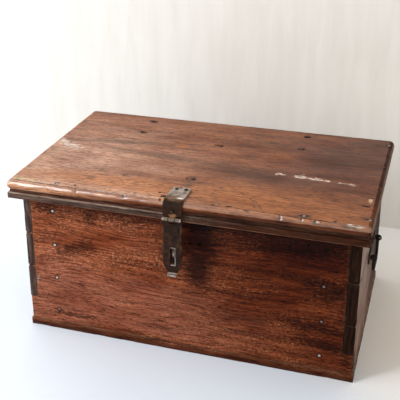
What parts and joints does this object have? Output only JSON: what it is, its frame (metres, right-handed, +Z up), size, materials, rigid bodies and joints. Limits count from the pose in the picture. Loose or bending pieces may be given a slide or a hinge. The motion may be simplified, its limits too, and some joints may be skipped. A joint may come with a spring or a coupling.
{
  "type": "wooden tea caddy chest",
  "caption": "Old plank-built wooden caddy chest with dovetailed corners, a moulded hinged lid, an iron hasp over a staple and an iron drop handle at each end.",
  "frame": {"origin": "middle of the bottom board's underside, on the floor", "axes": "+X to the right end, +Y to the back where the hinges are, +Z up; the hasp faces -Y"},
  "size_m": [0.473, 0.32, 0.2356],
  "materials": {
    "lid_wood": "worn satin",
    "wall_wood": "worn satin",
    "plain_wood": "dry, unpolished",
    "dark_moulding_wood": "dark, dirty satin",
    "forged_iron": "dark brown oxide with rubbed edges",
    "steel_nails": "dull bright heads"
  },
  "bodies": {
    "chest": {"back_board": "plain_wood", "back_left_corner_block": "plain_wood", "back_nails": "steel_nails", "back_right_corner_block": "plain_wood", "bottom_board": "plain_wood", "bottom_nails": "steel_nails", "front_board": "wall_wood", "front_left_corner_block": "plain_wood", "front_nails": "steel_nails", "front_right_corner_block": "plain_wood", "hasp_staple": "forged_iron", "left_end_board": "wall_wood", "left_handle_back_eye": "forged_iron", "left_handle_front_eye": "forged_iron", "left_handle_plate": "forged_iron", "left_hinge_leaf": "forged_iron", "left_hinge_leaf_nails": "forged_iron", "left_hinge_pin": "forged_iron", "right_end_board": "wall_wood", "right_handle_back_eye": "forged_iron", "right_handle_front_eye": "forged_iron", "right_handle_plate": "forged_iron", "right_hinge_leaf": "forged_iron", "right_hinge_leaf_nails": "forged_iron", "right_hinge_pin": "forged_iron"},
    "lid": {"lid_board": "lid_wood", "lid_front_moulding": "dark_moulding_wood", "lid_left_moulding": "dark_moulding_wood", "lid_right_moulding": "dark_moulding_wood", "lid_moulding_nails": "steel_nails", "hasp_strap": "forged_iron", "hasp_strap_nails": "forged_iron", "hasp_pin": "forged_iron", "left_hinge_strap": "forged_iron", "right_hinge_strap": "forged_iron", "left_hinge_strap_nails": "forged_iron", "right_hinge_strap_nails": "forged_iron"},
    "hasp": {"hasp_plate": "forged_iron"},
    "left_handle": {"left_handle_bail": "forged_iron"},
    "right_handle": {"right_handle_bail": "forged_iron"}
  },
  "joints": [
    {"name": "lid_hinge", "type": "hinge", "parent": "chest", "child": "lid", "pos_m": [0, 0.1449, 0.2105], "axis": [-1, 0, 0], "range_deg": [0, 105]},
    {"name": "hasp_hinge", "type": "hinge", "parent": "lid", "child": "hasp", "pos_m": [-0.005, -0.1675, 0.21], "axis": [-1, 0, 0], "range_deg": [-18, 165]},
    {"name": "left_handle_swing", "type": "hinge", "parent": "chest", "child": "left_handle", "pos_m": [-0.2315, 0, 0.124], "axis": [0, 1, 0], "range_deg": [0, 165]},
    {"name": "right_handle_swing", "type": "hinge", "parent": "chest", "child": "right_handle", "pos_m": [0.2315, 0, 0.124], "axis": [0, -1, 0], "range_deg": [0, 165]}
  ]
}
